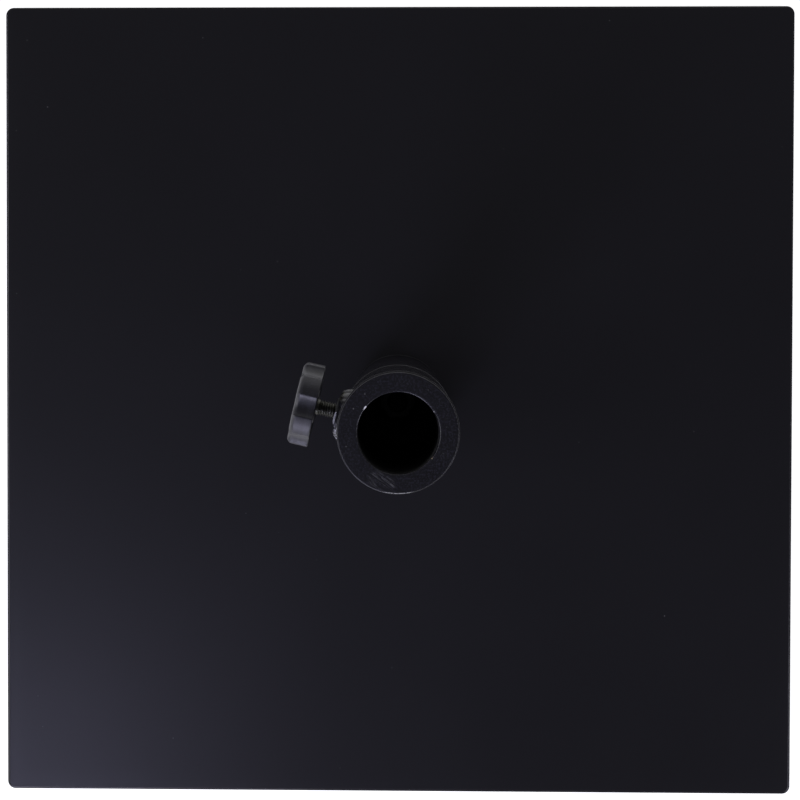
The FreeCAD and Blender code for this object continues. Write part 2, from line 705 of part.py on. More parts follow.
head_space.Placement = FreeCAD.Placement(FreeCAD.Vector(0, 0, 0), FreeCAD.Rotation(FreeCAD.Vector(0, 1, 0), 90.0))
bind(head_space, ".Placement.Base.x", hs)
screw_space = doc.addObject("Part::Fuse", "screw_space")
screw_space.Base = knob_seat
screw_space.Tool = head_space
knob = doc.addObject("Part::Cut", "knob")
knob.Label = "knob"
knob.Base = knob_body
knob.Tool = screw_space
place_on_screw_axis(knob)
nodes.append(knob)

# ----------------------------------------------------------------------------
# Check every object, then write one file a node
# ----------------------------------------------------------------------------
doc.recompute()
for obj in doc.Objects:
    if "Invalid" in obj.State or "Error" in obj.State:
        raise RuntimeError("%s is %s" % (obj.Name, obj.State))
for obj in nodes:
    if obj.Shape.isNull() or not obj.Shape.isValid():
        raise RuntimeError(obj.Label + " has no valid shape")

os.makedirs("parts", exist_ok=True)
for obj in nodes:
    box = obj.Shape.BoundBox
    print("%-16s solids %d  volume %10.1f  x %8.2f %8.2f  y %8.2f %8.2f  z %8.2f %8.2f" % (
        obj.Label, len(obj.Shape.Solids), obj.Shape.Volume,
        box.XMin, box.XMax, box.YMin, box.YMax, box.ZMin, box.ZMax))
    obj.Shape.exportStep("parts/%s.step" % obj.Label)
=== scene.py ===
import json
import math

import bmesh
import bpy
import numpy as np
from mathutils import Euler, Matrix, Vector, noise


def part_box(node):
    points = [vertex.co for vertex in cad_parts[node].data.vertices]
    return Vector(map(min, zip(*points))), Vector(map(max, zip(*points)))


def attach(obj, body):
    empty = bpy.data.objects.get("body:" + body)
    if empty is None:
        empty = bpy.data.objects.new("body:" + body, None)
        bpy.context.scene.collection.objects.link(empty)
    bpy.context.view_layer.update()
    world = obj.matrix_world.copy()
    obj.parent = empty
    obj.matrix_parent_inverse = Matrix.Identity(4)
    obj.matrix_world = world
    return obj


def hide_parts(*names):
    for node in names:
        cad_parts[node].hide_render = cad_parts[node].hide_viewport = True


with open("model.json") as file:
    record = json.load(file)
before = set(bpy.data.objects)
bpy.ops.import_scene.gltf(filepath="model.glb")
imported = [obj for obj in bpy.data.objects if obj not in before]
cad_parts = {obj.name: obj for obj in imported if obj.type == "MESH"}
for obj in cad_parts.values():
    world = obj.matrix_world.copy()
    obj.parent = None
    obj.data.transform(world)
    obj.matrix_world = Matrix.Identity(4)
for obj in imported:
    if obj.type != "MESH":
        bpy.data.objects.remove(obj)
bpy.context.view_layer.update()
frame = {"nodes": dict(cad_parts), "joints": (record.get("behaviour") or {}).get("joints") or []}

scene = bpy.context.scene
scene.view_settings.view_transform = "Standard"
MM = 0.001

# ---------------------------------------------------------------- levels, from the frame
plate_lo, plate_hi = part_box("base_plate")
PLATE_TOP = plate_hi.z
PLATE_LOW = plate_lo.z
HALF = plate_hi.x
lt_lo, lt_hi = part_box("lower_tube")
ut_lo, ut_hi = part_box("upper_tube")
TUBE_FOOT, SEAM, TUBE_TOP = lt_lo.z, lt_hi.z, ut_hi.z
TUBE_R = lt_hi.x
UPPER_R = 28.9 * MM
TUBE_IN = TUBE_R - 2.0 * MM
in_lo, in_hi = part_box("pole_insert")
POST_TOP = in_hi.z
INSERT_LOW = in_lo.z
LIP_R = in_hi.x
FLANGE_R = LIP_R - 0.65 * MM
BORE_R = 19.5 * MM
AZ = math.radians(167.0)
SCREW_Z = [j for j in frame["joints"] if j["name"] == "knob_turn"][0]["pos_m"][2]

# ---------------------------------------------------------------- camera
cam_data = bpy.data.cameras.new("camera")
cam = bpy.data.objects.new("camera", cam_data)
scene.collection.objects.link(cam)
scene.camera = cam
cam_data.sensor_width = 36.0
cam_data.sensor_fit = "HORIZONTAL"
cam_data.lens = 2031.8 / 800.0 * 36.0
cam.location = (-0.00092, 0.05982, 1.29261 + PLATE_TOP)
cam.rotation_euler = Euler((math.radians(-1.3828), math.radians(1.4726), math.radians(0.0810)), "XYZ")
cam_data.shift_x = 0.06982
cam_data.shift_y = -0.05514
cam_data.clip_start = 0.05
cam_data.clip_end = 50.0


# ---------------------------------------------------------------- mesh helpers
def new_object(name, verts, faces, material, body, sharp=32.0):
    """A mesh piece, smooth but for edges sharper than the angle, riding on a body."""
    me = bpy.data.meshes.new(name)
    me.from_pydata([tuple(v) for v in verts], [], [tuple(f) for f in faces])
    me.update()
    ob = bpy.data.objects.new(name, me)
    scene.collection.objects.link(ob)
    tidy(ob, sharp)
    me.materials.append(material)
    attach(ob, body)
    return ob


def tidy(ob, sharp):
    """Outward normals, no doubled points, smooth faces with hard edges marked."""
    bm = bmesh.new()
    bm.from_mesh(ob.data)
    bmesh.ops.remove_doubles(bm, verts=bm.verts, dist=1e-7)
    bmesh.ops.recalc_face_normals(bm, faces=bm.faces)
    limit = math.radians(sharp)
    for f in bm.faces:
        f.smooth = True
    for e in bm.edges:
        if len(e.link_faces) == 2:
            e.smooth = e.calc_face_angle(0.0) < limit
    bm.to_mesh(ob.data)
    bm.free()
    ob.data.update()


def ring_faces(rows, n, closed_rows):
    """Quads of a grid of rows of n points, each row a closed loop."""
    faces = []
    last = rows if closed_rows else rows - 1
    for i in range(last):
        a = i * n
        b = ((i + 1) % rows) * n
        for k in range(n):
            k2 = (k + 1) % n
            faces.append((a + k, a + k2, b + k2, b + k))
    return faces


def lathe(profile, n, wobble=None):
    """Turns a closed (radius, height) outline about Z. wobble(r, z, angle) may nudge a point."""
    verts = []
    for r, z in profile:
        for k in range(n):
            a = 2 * math.pi * k / n
            rr, zz = (r, z) if wobble is None else wobble(r, z, a)
            verts.append((rr * math.cos(a), rr * math.sin(a), zz))
    return verts, ring_faces(len(profile), n, True)


def arc(cx, cy, r, a0, a1, steps):
    """Points on a circle from angle a0 to a1, degrees, ends included."""
    return [(cx + r * math.cos(math.radians(a0 + (a1 - a0) * i / steps)),
             cy + r * math.sin(math.radians(a0 + (a1 - a0) * i / steps))) for i in range(steps + 1)]


def to_screw_axis(x, y, z):
    """From (along the screw, across, up from the screw) to the row frame."""
    return (x * math.cos(AZ) - y * math.sin(AZ), x * math.sin(AZ) + y * math.cos(AZ), z + SCREW_Z)


# ---------------------------------------------------------------- material helpers
class Tree:
    def __init__(self, name):
        self.mat = bpy.data.materials.new(name)
        self.mat.use_nodes = True
        self.nt = self.mat.node_tree
        self.nt.nodes.clear()
        self.out = self.nt.nodes.new("ShaderNodeOutputMaterial")
        self.bsdf = self.nt.nodes.new("ShaderNodeBsdfPrincipled")
        self.nt.links.new(self.bsdf.outputs[0], self.out.inputs[0])
        self.coord = self.nt.nodes.new("ShaderNodeTexCoord").outputs["Object"]

    def put(self, socket, value):
        if isinstance(value, bpy.types.NodeSocket):
            self.nt.links.new(value, socket)
        elif value is not None:
            socket.default_value = value

    def noise(self, scale, detail=2.0, rough=0.5, coord=None, out="Fac", distortion=0.0):
        nd = self.nt.nodes.new("ShaderNodeTexNoise")
        self.put(nd.inputs["Vector"], coord or self.coord)
        nd.inputs["Scale"].default_value = scale
        nd.inputs["Detail"].default_value = detail
        nd.inputs["Roughness"].default_value = rough
        nd.inputs["Distortion"].default_value = distortion
        return nd.outputs[out]

    def voronoi(self, scale, coord=None, feature="F1", out="Distance", random=1.0):
        nd = self.nt.nodes.new("ShaderNodeTexVoronoi")
        nd.feature = feature
        self.put(nd.inputs["Vector"], coord or self.coord)
        nd.inputs["Scale"].default_value = scale
        nd.inputs["Randomness"].default_value = random
        return nd.outputs[out]

    def scaled(self, vec, coord=None, rot=(0, 0, 0), loc=(0, 0, 0)):
        nd = self.nt.nodes.new("ShaderNodeMapping")
        self.put(nd.inputs["Vector"], coord or self.coord)
        nd.inputs["Scale"].default_value = vec
        nd.inputs["Rotation"].default_value = rot
        nd.inputs["Location"].default_value = loc
        return nd.outputs[0]

    def drawn_out(self, angle, vec, coord=None):
        """Coordinates turned so that a heading in plan, degrees, lies along X, then scaled."""
        return self.scaled(vec, coord=self.scaled((1, 1, 1), coord=coord, rot=(0, 0, -math.radians(angle))))

    def math(self, op, a, b=None, c=None, clamp=False):
        nd = self.nt.nodes.new("ShaderNodeMath")
        nd.operation = op
        nd.use_clamp = clamp
        for i, v in enumerate((a, b, c)):
            self.put(nd.inputs[i], v)
        return nd.outputs[0]

    def ramp(self, value, lo, hi, out_lo=0.0, out_hi=1.0, smooth=True):
        nd = self.nt.nodes.new("ShaderNodeMapRange")
        nd.interpolation_type = "SMOOTHSTEP" if smooth else "LINEAR"
        self.put(nd.inputs["Value"], value)
        for key, v in (("From Min", lo), ("From Max", hi), ("To Min", out_lo), ("To Max", out_hi)):
            nd.inputs[key].default_value = v
        return nd.outputs["Result"]

    def mix(self, fac, a, b):
        nd = self.nt.nodes.new("ShaderNodeMix")
        nd.data_type = "RGBA"
        self.put(nd.inputs[0], fac)
        self.put(nd.inputs[6], a)
        self.put(nd.inputs[7], b)
        return nd.outputs[2]

    def blend(self, fac, a, b):
        nd = self.nt.nodes.new("ShaderNodeMix")
        nd.data_type = "FLOAT"
        self.put(nd.inputs[0], fac)
        self.put(nd.inputs[2], a)
        self.put(nd.inputs[3], b)
        return nd.outputs[0]

    def split(self, coord=None):
        nd = self.nt.nodes.new("ShaderNodeSeparateXYZ")
        self.put(nd.inputs[0], coord or self.coord)
        return nd.outputs[0], nd.outputs[1], nd.outputs[2]

    def bump(self, height, distance, strength=1.0, normal=None):
        nd = self.nt.nodes.new("ShaderNodeBump")
        nd.inputs["Strength"].default_value = strength
        nd.inputs["Distance"].default_value = distance
        self.put(nd.inputs["Height"], height)
        if normal is not None:
            self.put(nd.inputs["Normal"], normal)
        return nd.outputs[0]

    def near(self, x, y, z, radius, soft):
        """1 inside a ball about a point, falling to 0 at its edge."""
        nd = self.nt.nodes.new("ShaderNodeVectorMath")
        nd.operation = "DISTANCE"
        self.put(nd.inputs[0], self.coord)
        nd.inputs[1].default_value = (x, y, z)
        return self.ramp(nd.outputs["Value"], radius, radius * soft)

    def finish(self, color=None, rough=None, metallic=0.0, spec=None, normal=None, coat=None):
        b = self.bsdf.inputs
        self.put(b["Base Color"], color)
        self.put(b["Roughness"], rough)
        b["Metallic"].default_value = metallic
        if spec is not None:
            b["Specular IOR Level"].default_value = spec
        if normal is not None:
            self.put(b["Normal"], normal)
        return self.mat


def powder_coat(name, extra=None, peel=0.009, specks=True, spec=0.5, gloss=(0.312, 0.326)):
    """Satin black powder coat: orange peel, a few dust specks, rubbed spots."""
    t = Tree(name)
    mottle = t.noise(7.0, 3.0, 0.5)
    fine = t.noise(900.0, 2.0, 0.6)
    base = t.mix(t.ramp(mottle, 0.3, 0.7), (0.0036, 0.0034, 0.0049, 1), (0.0041, 0.0039, 0.0056, 1))
    base = t.mix(t.ramp(fine, 0.45, 0.8, 0.0, 0.30), base, (0.0065, 0.0062, 0.0080, 1))
    rough = t.blend(t.ramp(t.noise(9.0, 2.0, 0.5), 0.3, 0.7), gloss[0], gloss[1])
    if specks:
        # dust: sparse small points of several sizes
        for scale, size, chance, tone, loc in ((330.0, 0.15, 0.9955, 0.10, 0.0), (150.0, 0.075, 0.990, 0.12, 0.37)):
            at = t.scaled((1, 1, 1), loc=(loc, loc, loc))
            dist = t.voronoi(scale, coord=at)
            colour = t.voronoi(scale, coord=at, out="Color")
            cell = t.split(colour)[0]
            dot = t.math("MULTIPLY", t.ramp(dist, size, size * 0.4), t.math("GREATER_THAN", cell, chance))
            base = t.mix(t.math("MULTIPLY", dot, 0.8), base, (tone, tone, tone * 0.98, 1))
    peel_h = t.noise(430.0, 2.0, 0.45)
    normal = t.bump(peel_h, peel * MM, 1.0)
    if extra is not None:
        base, rough = extra(t, base, rough)
    return t.finish(base, rough, spec=spec, normal=normal)


def seam_wear_and_painted_highlight(t, base, rough):
    """Paint thin on the outer corner of the lower tube's end, lightened there as a painted highlight line."""
    x, y, z = t.split()
    corner = t.ramp(z, SEAM - 0.55 * MM, SEAM - 0.25 * MM)
    # painted highlight: the corner is lightened to stand for the light line along the seam
    base = t.mix(t.math("MULTIPLY", corner, t.ramp(t.noise(160.0, 3.0, 0.6), 0.30, 0.55, 0.3, 0.9)), base,
                 (0.024, 0.024, 0.026, 1))
    return base, rough


def lip_wear_and_painted_highlight(t, base, rough):
    """Paint rubbed thin here and there on the lip of the tube, lightened there as a painted highlight line."""
    x, y, z = t.split()
    lip = t.ramp(z, TUBE_TOP - 0.75 * MM, TUBE_TOP - 0.15 * MM)
    # painted highlight: the lip is lightened in patches to stand for its light line
    thin = t.math("MULTIPLY", t.math("MULTIPLY", lip, t.ramp(t.noise(180.0, 3.0, 0.6), 0.50, 0.66)), 0.5)
    base = t.mix(thin, base, (0.030, 0.030, 0.032, 1))
    return base, rough


def plastic(name, low, high, rough_lo, rough_hi, grain=900.0, grain_mm=0.006, extra=None, mottle=2.6, spec=0.5):
    """Moulded black plastic: fine spark texture, slight flow mottling, handling marks."""
    t = Tree(name)
    base = t.mix(t.ramp(t.noise(60.0, 3.0, 0.5), 0.3, 0.7), low, high)
    rough = t.blend(t.ramp(t.noise(140.0, 3.0, 0.6), 0.3, 0.7), rough_lo, rough_hi)
    scuff = t.noise(1.0, 3.0, 0.6, coord=t.drawn_out(52.0, (90.0, 900.0, 300.0)))
    scuff = t.math("MULTIPLY", t.ramp(scuff, 0.64, 0.72), t.ramp(t.noise(50.0, 2.0), 0.48, 0.62))
    base = t.mix(t.math("MULTIPLY", scuff, 0.30), base, (0.06, 0.06, 0.06, 1))
    pale = tuple(min(1.0, c * mottle) for c in high[:3]) + (1,)
    base = t.mix(t.ramp(t.noise(1000.0, 3.0, 0.7), 0.46, 0.66, 0.0, 0.85), base, pale)
    rough = t.blend(t.math("MULTIPLY", scuff, 0.5), rough, 0.6)
    normal = t.bump(t.noise(grain, 2.0, 0.6), grain_mm * MM, 1.0)
    if extra is not None:
        base, rough = extra(t, base, rough)
    return t.finish(base, rough, spec=spec, normal=normal)


def bare_metal(name, low, high, rough_lo, rough_hi, scale=220.0, stain=None):
    t = Tree(name)
    base = t.mix(t.ramp(t.noise(scale, 4.0, 0.6), 0.3, 0.7), low, high)
    if stain is not None:
        base = t.mix(t.ramp(t.noise(scale * 2.3, 4.0, 0.7), 0.5, 0.68), base, stain)
    rough = t.blend(t.ramp(t.noise(scale * 3, 3.0, 0.6), 0.3, 0.7), rough_lo, rough_hi)
    normal = t.bump(t.noise(scale * 6, 3.0, 0.6), 0.004 * MM, 1.0)
    return t.finish(base, rough, metallic=1.0, normal=normal)


def insert_marks(t, base, rough):
    """Fine parallel scratches by the near side of the flange, a rubbed pale edge with a painted highlight along its
    near half, a few nicks, a painted glint and a bore wall painted lighter.
    """
    x, y, z = t.split()
    top_face = t.ramp(z, POST_TOP - 0.5 * MM, POST_TOP - 0.1 * MM)
    zone = t.math("MAXIMUM", t.near(-10.2 * MM, -21.8 * MM, POST_TOP, 4.8 * MM, 0.5),
                  t.near(-5.4 * MM, -24.6 * MM, POST_TOP, 4.8 * MM, 0.5))
    line = t.noise(1.0, 1.0, 0.5, coord=t.drawn_out(-33.0, (48.0, 820.0, 1.0)))
    line = t.math("ABSOLUTE", t.math("SUBTRACT", line, 0.5))
    line = t.ramp(line, 0.034, 0.010)
    more = t.noise(1.0, 1.0, 0.5, coord=t.drawn_out(-37.0, (40.0, 1250.0, 7.0)))
    more = t.ramp(t.math("ABSOLUTE", t.math("SUBTRACT", more, 0.47)), 0.030, 0.010)
    line = t.math("MAXIMUM", line, t.math("MULTIPLY", more, 0.75))
    mark = t.math("MULTIPLY", t.math("MULTIPLY", line, zone), top_face)
    base = t.mix(t.math("MULTIPLY", mark, 0.85), base, (0.062, 0.062, 0.064, 1))
    rough = t.blend(t.math("MULTIPLY", mark, 0.6), rough, 0.6)
    # outer edge: the near half lightened in broken lengths as a painted highlight, and rubbed pale at the bottom of
    # the near side
    out_r = t.math("SQRT", t.math("ADD", t.math("MULTIPLY", x, x), t.math("MULTIPLY", y, y)))
    edge = t.math("MULTIPLY", t.ramp(out_r, FLANGE_R - 0.50 * MM, FLANGE_R - 0.28 * MM),
                  t.ramp(z, POST_TOP - 0.55 * MM, POST_TOP - 0.35 * MM))
    broken = t.ramp(t.noise(260.0, 3.0, 0.7), 0.38, 0.56)
    near_side = t.ramp(y, -27.5 * MM, -28.35 * MM)
    # painted highlight: the near half of the edge lightened
    near_half_painted_highlight = t.math("MULTIPLY", t.ramp(y, -2.0 * MM, -14.0 * MM), 0.3)
    base = t.mix(t.math("MULTIPLY", edge, t.math("MULTIPLY", broken, near_half_painted_highlight)), base, (0.025, 0.025, 0.026, 1))
    base = t.mix(t.math("MULTIPLY", edge, t.math("MULTIPLY", broken, near_side)), base, (0.30, 0.30, 0.29, 1))
    # painted light: the bore wall below its edge is lightened to stand for light reaching into the bore
    bore = t.math("MULTIPLY", t.ramp(out_r, BORE_R + 0.20 * MM, BORE_R + 0.08 * MM),
                  t.ramp(z, POST_TOP - 0.8 * MM, POST_TOP - 1.8 * MM))
    base = t.mix(bore, base, (0.032, 0.032, 0.031, 1))
    for px, py, size, tone in ((-21.2, 11.6, 0.42, 0.12), (-24.6, -6.4, 0.40, 0.10), (-15.8, 18.6, 0.55, 0.06),
                               (14.2, 20.6, 0.35, 0.05), (22.8, 3.0, 0.35, 0.04), (21.4, -9.5, 0.30, 0.04)):
        nick = t.near(px * MM, py * MM, POST_TOP, size * MM, 0.3)
        base = t.mix(nick, base, (tone, tone, tone, 1))
    # bore edge: a painted glint of white spots in a row near 142 degrees, a pale nick at 31 degrees, a brown one at
    # the end of the relief and a faint one opposite
    for angle, size, tone in ((140.6, 0.42, (0.95, 0.95, 0.95)), (142.2, 0.46, (1.0, 1.0, 1.0)),
                              (143.8, 0.42, (0.95, 0.95, 0.95)), (145.4, 0.30, (0.6, 0.6, 0.6)),
                              (31.0, 0.45, (0.20, 0.20, 0.20)), (-36.5, 0.55, (0.26, 0.22, 0.15)),
                              (-34.2, 0.45, (0.12, 0.10, 0.07)), (-175.0, 0.40, (0.05, 0.05, 0.055))):
        a = math.radians(angle)
        r = BORE_R + 0.30 * MM
        nick_and_glint_mark = t.near(r * math.cos(a), r * math.sin(a), POST_TOP - 0.12 * MM, size * MM, 0.45)
        base = t.mix(nick_and_glint_mark, base, tone + (1,))
    return base, rough


paint = powder_coat("powder_coat")
paint_edge = powder_coat("powder_coat_plate_edge", spec=0.03)
paint_post = powder_coat("powder_coat_post", extra=seam_wear_and_painted_highlight, spec=0.2, gloss=(0.20, 0.215))
paint_rim = powder_coat("powder_coat_lip", extra=lip_wear_and_painted_highlight, spec=0.2, gloss=(0.20, 0.215))


def dust_and_painted_highlight(t, base, rough):
    """Dust in the groove at the foot of the post: the disc and its weld lightened all over in a noise pattern,
    partly as a painted highlight for the light line at the foot.
    """
    # painted highlight: lightened grey to stand for the light line at the foot
    base = t.mix(t.ramp(t.noise(240.0, 3.0, 0.6), 0.3, 0.7, 0.7, 1.0), base, (0.10, 0.10, 0.10, 1))
    return base, t.blend(0.5, rough, 0.5)


paint_foot = powder_coat("powder_coat_foot", extra=dust_and_painted_highlight, spec=0.3)
paint_in = powder_coat("powder_coat_inside", specks=False)


def chips_and_painted_highlights(t, base, rough):
    """Paint knocked off the proud places of the weld; the placed pale patches there are also painted highlights."""
    base = t.mix(t.ramp(t.noise(700.0, 3.0, 0.7), 0.42, 0.66, 0.0, 0.75), base, (0.022, 0.022, 0.026, 1))
    chip = t.ramp(t.noise(620.0, 3.0, 0.65), 0.47, 0.57)
    # painted highlights: a pale patch low on the bead and a faint one high on it, where glints fall
    low = t.math("MULTIPLY", t.near(-29.5 * MM, -3.2 * MM, SCREW_Z + 5.0 * MM, 8.0 * MM, 0.45), chip)
    high = t.math("MULTIPLY", t.near(-25.5 * MM, 19.5 * MM, SCREW_Z + 5.0 * MM, 5.5 * MM, 0.45), chip)
    base = t.mix(low, base, (0.36, 0.36, 0.40, 1))
    base = t.mix(t.math("MULTIPLY", high, 0.6), base, (0.06, 0.06, 0.06, 1))
    rust = t.math("MULTIPLY", t.near(-28.0 * MM, 15.0 * MM, SCREW_Z + 6.0 * MM, 3.4 * MM, 0.4), chip)
    base = t.mix(rust, base, (0.060, 0.056, 0.030, 1))
    rough = t.blend(0.6, rough, 0.5)
    return base, rough


def rim_lines(t, base, rough):
    """Faint lines round the rim of the knob, left by the mould."""
    line = t.noise(1.0, 2.0, 0.6, coord=t.drawn_out(math.degrees(AZ), (1500.0, 45.0, 45.0)))
    base = t.mix(t.ramp(line, 0.5, 0.72, 0.0, 0.45), base, (0.030, 0.030, 0.036, 1))
    return base, rough


bead_mat = powder_coat("powder_coat_weld", extra=chips_and_painted_highlights)
insert_look = dict(low=(0.0020, 0.0019, 0.0030, 1), high=(0.0027, 0.0026, 0.0040, 1), rough_lo=0.31, rough_hi=0.345,
                   grain=1300.0, grain_mm=0.016, extra=insert_marks, mottle=6.0)
insert_mat = plastic("insert_plastic", **insert_look)
insert_edge_mat = plastic("insert_plastic_edge", spec=0.22, **insert_look)
knob_mat = plastic("knob_plastic", (0.0058, 0.0056, 0.0082, 1), (0.0074, 0.0072, 0.0106, 1), 0.38, 0.46,
                   grain=1400.0, grain_mm=0.013, extra=rim_lines)
nylon_mat = plastic("nylon", (0.03, 0.03, 0.03, 1), (0.04, 0.04, 0.04, 1), 0.4, 0.5)
rubber_mat = plastic("rubber", (0.016, 0.016, 0.016, 1), (0.022, 0.022, 0.021, 1), 0.7, 0.85, grain=700.0, grain_mm=0.02)
screw_mat = bare_metal("dark_steel", (0.050, 0.050, 0.041, 1), (0.095, 0.095, 0.082, 1), 0.30, 0.46, 300.0,
                       stain=(0.024, 0.023, 0.017, 1))
oxide_mat = bare_metal("black_oxide", (0.020, 0.020, 0.021, 1), (0.035, 0.035, 0.036, 1), 0.35, 0.5)
mill_mat = bare_metal("rolled_steel", (0.06, 0.06, 0.062, 1), (0.10, 0.10, 0.10, 1), 0.4, 0.6, stain=(0.05, 0.04, 0.035, 1))


# ---------------------------------------------------------------- base plate
def rounded_square(half, radius, offset, n_corner, n_side):
    """Points of a rounded square drawn in by offset, counter-clockwise."""
    pts = []
    r = max(radius - offset, 0.2 * MM)
    c = half - offset - r
    for q in range(4):
        cx = c * (1 if q in (0, 3) else -1)
        cy = c * (1 if q in (0, 1) else -1)
        a0 = 90.0 * q
        for i in range(n_corner + 1):
            a = math.radians(a0 + 90.0 * i / n_corner)
            pts.append((cx + r * math.cos(a), cy + r * math.sin(a)))
        ca = math.radians(a0 + 90.0)
        start = (cx + r * math.cos(ca), cy + r * math.sin(ca))
        nx = c * (1 if (q + 1) % 4 in (0, 3) else -1)
        ny = c * (1 if (q + 1) % 4 in (0, 1) else -1)
        end = (nx + r * math.cos(ca), ny + r * math.sin(ca))
        for i in range(1, n_side):
            f = i / n_side
            pts.append((start[0] + (end[0] - start[0]) * f, start[1] + (end[1] - start[1]) * f))
    return pts


def build_plate():
    corner, top_r, low_r = 5.0 * MM, 1.8 * MM, 0.8 * MM
    n_corner, n_side = 14, 30
    profile = []                                     # (inward offset, height)
    for a in range(0, 91, 9):                        # top rounding, from the face outwards
        t = math.radians(a)
        profile.append((top_r * (1 - math.sin(t)), PLATE_TOP - top_r * (1 - math.cos(t))))
    for a in range(0, 91, 15):
        t = math.radians(a)
        profile.append((low_r * (1 - math.cos(t)), PLATE_LOW + low_r * (1 - math.sin(t))))
    loops = [[(x, y, z) for x, y in rounded_square(HALF, corner, off, n_corner, n_side)] for off, z in profile]
    n = len(loops[0])
    base_angle = [math.atan2(p[1], p[0]) for p in loops[0]]

    def disc(r, z):
        return [(r * math.cos(a), r * math.sin(a), z) for a in base_angle]

    inner = []
    low = [p for p in loops[-1]]
    edge = loops[0]
    top_rows = []
    for f in (0.04, 0.10, 0.25, 0.5, 0.75):          # top face, drawn in to the hole
        top_rows.append([(e[0] * (1 - f) + 6.5 * MM * math.cos(a) * f, e[1] * (1 - f) + 6.5 * MM * math.sin(a) * f, PLATE_TOP)
                         for e, a in zip(edge, base_angle)])
    low_rows = []
    for f in (0.04, 0.10, 0.25, 0.5, 0.75):
        low_rows.append([(e[0] * (1 - f) + 12.3 * MM * math.cos(a) * f, e[1] * (1 - f) + 12.3 * MM * math.sin(a) * f, PLATE_LOW)
                         for e, a in zip(low, base_angle)])
    rows = list(loops) + low_rows
    rows += [disc(12.3 * MM, PLATE_LOW), disc(12.3 * MM, PLATE_LOW + 0.3 * MM), disc(6.5 * MM, PLATE_LOW + 6.1 * MM),
             disc(6.5 * MM, PLATE_TOP)]
    rows += list(reversed(top_rows))
    verts = [p for row in rows for p in row]
    faces = ring_faces(len(rows), n, True)
    ob = new_object("plate", verts, faces, paint, "root", 40.0)
    ob.data.materials.append(paint_edge)
    for f in ob.data.polygons:
        if PLATE_TOP - top_r - 1e-6 < f.center.z < PLATE_TOP - top_r * (1 - math.cos(math.radians(30.0))):
            f.material_index = 1
    return ob


plate = build_plate()
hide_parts("base_plate")

# ---------------------------------------------------------------- post tubes
bev = 0.4 * MM
prof = [(TUBE_IN, TUBE_FOOT), (TUBE_R - 0.7 * MM, TUBE_FOOT), (TUBE_R - 0.08 * MM, TUBE_FOOT + 0.62 * MM),
        (TUBE_R, TUBE_FOOT + 0.8 * MM)]
prof += [(TUBE_R, TUBE_FOOT + (SEAM - bev - TUBE_FOOT) * f) for f in (0.1, 0.3, 0.5, 0.7, 0.9, 0.98)]
prof += arc(TUBE_R - bev, SEAM - bev, bev, 0, 90, 8)
prof += [(TUBE_IN, SEAM)]
v, f = lathe(prof, 192)
lower = new_object("post_lower", v, f, paint_post, "root", 40.0)
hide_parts("lower_tube")

for node in ("post_end_disc", "end_disc_weld", "clamp_nut", "upper_tube"):
    ob = frame["nodes"][node]
    for s in ob.material_slots:
        s.material = {"upper_tube": paint_rim, "clamp_nut": paint}.get(node, paint_foot)
fittings = [("tube_coupling", mill_mat), ("post_end_nut", paint_in), ("end_nut_weld", paint_in),
            ("post_screw", oxide_mat), ("tip_pad", nylon_mat)]
fittings += [(node, rubber_mat) for node in frame["nodes"].keys() if node.startswith("foot_pad")]
for node, mat in fittings:
    for s in frame["nodes"][node].material_slots:
        s.material = mat


